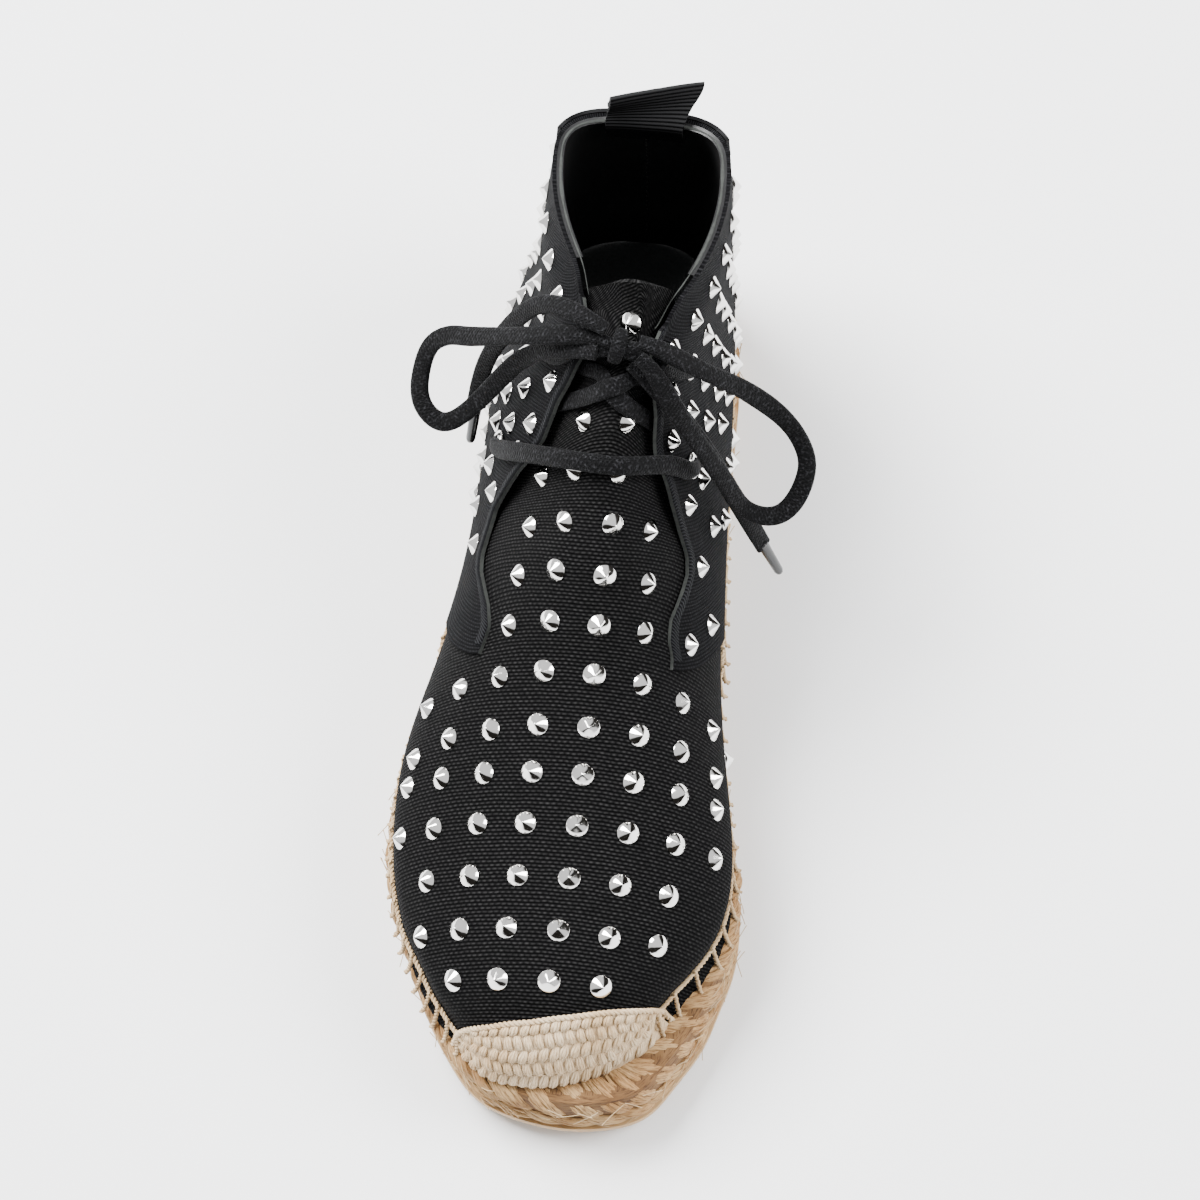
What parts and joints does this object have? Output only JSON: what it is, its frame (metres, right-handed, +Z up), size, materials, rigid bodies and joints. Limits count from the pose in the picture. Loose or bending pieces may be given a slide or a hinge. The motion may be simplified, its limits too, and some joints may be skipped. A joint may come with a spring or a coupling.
{
  "type": "lace-up espadrille boot",
  "caption": "Ankle-high lace-up canvas boot on a rope midsole, with a woven toe patch, a bow and a pull loop at the heel; right shoe.",
  "frame": {"origin": "on the floor under the middle of the shoe's length, on the flat of the outsole", "axes": "+Z up, -Y towards the toe, +Y towards the heel, +X towards the medial side, -X towards the lateral side"},
  "size_m": [0.1178, 0.2936, 0.1497],
  "materials": {
    "rubber": "matte tan rubber",
    "jute": "braided rope",
    "insole": "dark sock lining",
    "canvas": "ribbed black canvas",
    "jute_weave": "coarse off-white weave",
    "ribbon": "black grosgrain",
    "metal": "polished silver",
    "lace": "black waxed cotton",
    "plastic": "black lace tip"
  },
  "bodies": {
    "root": {"outsole": "rubber", "midsole": "jute", "insole": "insole", "upper": "canvas", "tongue": "canvas", "toe_patch": "jute_weave", "collar_band": "ribbon", "pull_loop": "ribbon", "eyelet_1": "metal", "eyelet_2": "metal", "eyelet_3": "metal", "eyelet_4": "metal", "lace_bars": "lace", "lace_knot": "lace", "lace_loop_left": "lace", "lace_loop_right": "lace", "lace_end_left": "lace", "lace_end_right": "lace", "lace_tip_left": "plastic", "lace_tip_right": "plastic"}
  },
  "joints": []
}
